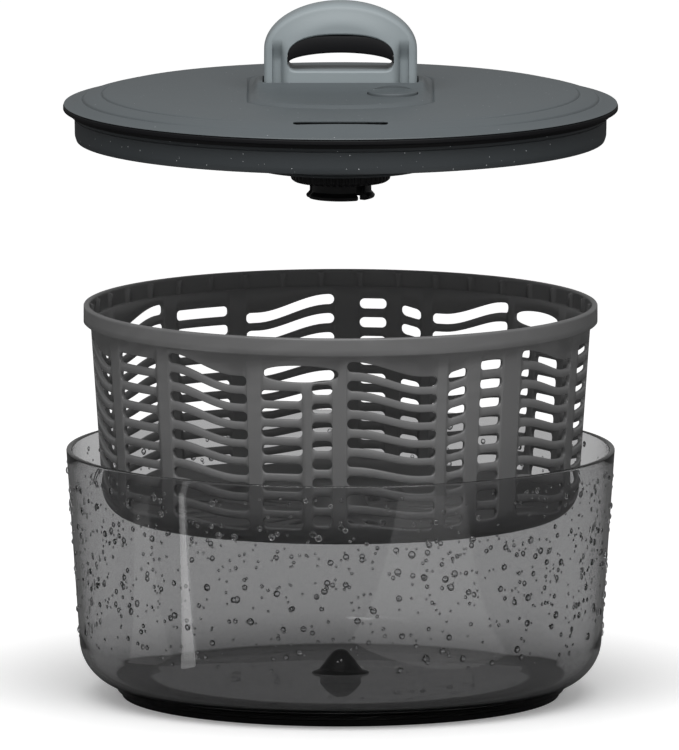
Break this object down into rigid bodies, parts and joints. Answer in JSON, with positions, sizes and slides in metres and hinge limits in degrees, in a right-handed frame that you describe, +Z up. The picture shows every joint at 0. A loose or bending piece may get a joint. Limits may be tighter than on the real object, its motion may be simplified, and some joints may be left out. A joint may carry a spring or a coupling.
{
  "type": "salad spinner",
  "caption": "Round salad spinner laid out open: clear bowl with a soft base ring, slotted spinning basket, and a lid with a pump arch handle, brake button and drive disc.",
  "frame": {"origin": "middle of the base ring's underside, on the table, on the spin axis", "axes": "+Z up along the spin axis; -Y is the front of the lid, where its slit and brake button are; the handle's arch spans X"},
  "size_m": [0.2626, 0.2626, 0.3309],
  "materials": {
    "smoked_clear": "clear smoked plastic, polished",
    "basket_smoke": "dark smoked plastic, satin",
    "lid_grey": "fine moulded texture",
    "skirt_grey": "satin",
    "handle_grey": "soft satin",
    "black_plastic": "satin",
    "black_rubber": "matt soft rubber",
    "bearing_plastic": "natural bearing plastic",
    "steel": "bright drawn steel"
  },
  "bodies": {
    "bowl": {"bowl": "smoked_clear", "pivot_cone": "black_plastic", "base_ring": "black_rubber"},
    "basket_carrier": {"pivot_cap": "bearing_plastic"},
    "basket": {"basket": "basket_smoke"},
    "lid": {"lid_shell": "lid_grey", "rim_seal": "black_rubber", "lid_skirt": "skirt_grey", "mechanism_chassis": "black_plastic", "thrust_washer": "bearing_plastic", "guide_post_left": "steel", "guide_post_right": "steel", "return_spring_left": "steel", "return_spring_right": "steel", "brake_spring": "steel", "chassis_screw_1": "steel", "chassis_screw_2": "steel", "chassis_screw_3": "steel", "chassis_screw_4": "steel"},
    "handle": {"handle_shell": "handle_grey", "handle_grip": "black_rubber", "handle_carriage": "black_plastic", "twist_spindle": "steel", "carriage_screw_left": "steel", "carriage_screw_right": "steel"},
    "drive_nut": {"drive_nut": "bearing_plastic"},
    "drive_hub": {"claw_hub": "black_plastic", "knurled_ring": "black_plastic", "drive_disc": "lid_grey", "nut_retainer": "black_plastic"},
    "brake": {"brake_button": "black_plastic", "brake_pad": "black_rubber"}
  },
  "joints": [
    {"name": "basket_lift", "type": "slide", "parent": "bowl", "child": "basket_carrier", "axis": [0, 0, 1], "range_m": [-0.0724, 0.045]},
    {"name": "basket_spin", "type": "hinge", "parent": "basket_carrier", "child": "basket", "pos_m": [0, 0, 0.0864], "axis": [0, 0, 1], "continuous": true},
    {"name": "lid_lift", "type": "slide", "parent": "basket_carrier", "child": "lid", "axis": [0, 0, 1], "range_m": [-0.0861, 0.03]},
    {"name": "hub_spin", "type": "hinge", "parent": "lid", "child": "drive_hub", "pos_m": [0, 0, 0.2794], "axis": [0, 0, 1], "range_deg": [0, 450]},
    {"name": "nut_spin", "type": "hinge", "parent": "lid", "child": "drive_nut", "pos_m": [0, 0, 0.2794], "axis": [0, 0, 1], "range_deg": [0, 450]},
    {"name": "handle_press", "type": "slide", "parent": "lid", "child": "handle", "axis": [0, 0, 1], "range_m": [-0.02, 0], "stiffness_N_per_m": 350, "springref_m": 0.012, "deforming": ["return_spring_left", "return_spring_right"]},
    {"name": "brake_press", "type": "slide", "parent": "lid", "child": "brake", "axis": [0, 0, 1], "range_m": [-0.0028, 0], "stiffness_N_per_m": 300, "springref_m": 0.004, "deforming": ["brake_spring"]}
  ],
  "couplings": [
    {"joint": "nut_spin", "follows": "hub_spin", "ratio": 1},
    {"joint": "handle_press", "follows": "hub_spin", "m_per_rad": -0.0025464}
  ]
}
